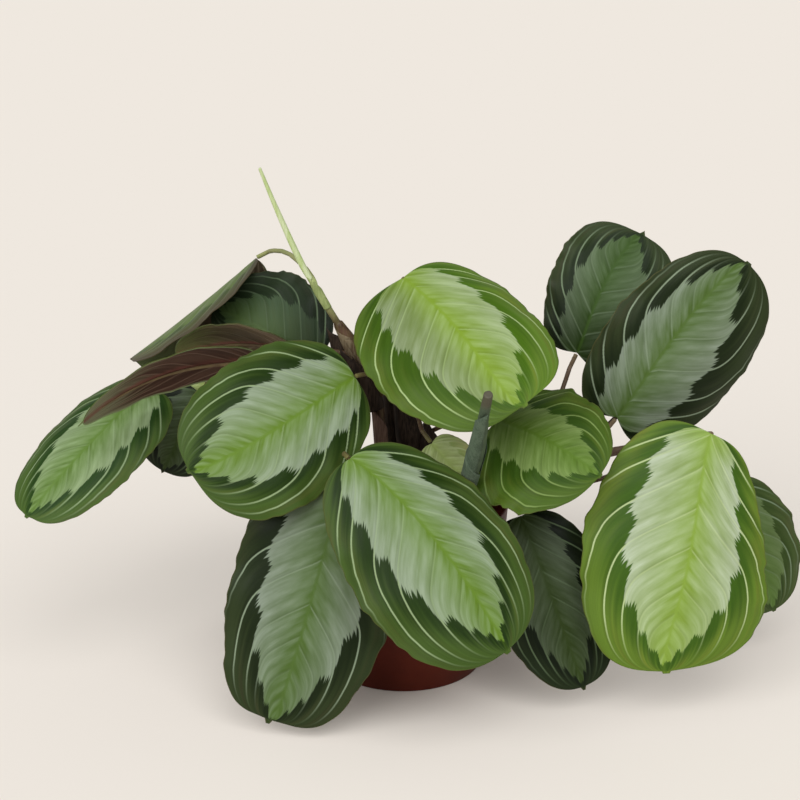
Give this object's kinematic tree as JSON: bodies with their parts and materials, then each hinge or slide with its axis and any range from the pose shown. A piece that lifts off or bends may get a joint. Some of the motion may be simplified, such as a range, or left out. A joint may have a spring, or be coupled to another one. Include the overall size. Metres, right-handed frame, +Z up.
{
  "type": "potted prayer plant",
  "caption": "Leafy prayer plant in a round tapered nursery pot, its broad feathered leaves spreading wide on arching stalks, with a rolled new leaf and a cut shoot.",
  "frame": {"origin": "middle of the pot's flat base, on the surface that the pot stands on", "axes": "+Z up, +X towards the plant's longer side, -Y towards the front, where the large leaves hang"},
  "size_m": [0.4469, 0.2507, 0.2954],
  "materials": {
    "pot": "satin",
    "soil": "rough",
    "young_leaf": "satin",
    "mature_leaf": "satin",
    "new_leaf": "satin",
    "shoot": "matte",
    "cut_shoot": "matte"
  },
  "bodies": {
    "root": {"pot": "pot", "soil": "soil", "rolled_leaf": "new_leaf", "main_shoot": "shoot", "left_shoot": "shoot", "centre_shoot": "shoot", "front_shoot": "shoot", "right_shoot": "shoot", "low_right_shoot": "shoot", "pruned_shoot": "cut_shoot", "leaf_top_centre": "young_leaf", "leaf_left_centre": "young_leaf", "leaf_front_centre": "young_leaf", "leaf_low_left": "mature_leaf", "leaf_far_left": "mature_leaf", "leaf_high_left": "young_leaf", "leaf_turned_low": "mature_leaf", "leaf_turned_high": "mature_leaf", "leaf_back_left": "mature_leaf", "leaf_small_dark": "mature_leaf", "leaf_small_pale": "young_leaf", "leaf_right_centre": "young_leaf", "leaf_pale_low": "young_leaf", "leaf_upper_right_small": "mature_leaf", "leaf_upper_right_large": "mature_leaf", "leaf_front_right": "young_leaf", "leaf_far_right": "mature_leaf", "leaf_low_right": "mature_leaf", "leaf_rear_centre": "mature_leaf", "leaf_rear_right": "mature_leaf", "leaf_rear_left": "mature_leaf", "leaf_rear_low": "young_leaf", "leaf_rear_far_right": "young_leaf"}
  },
  "joints": []
}
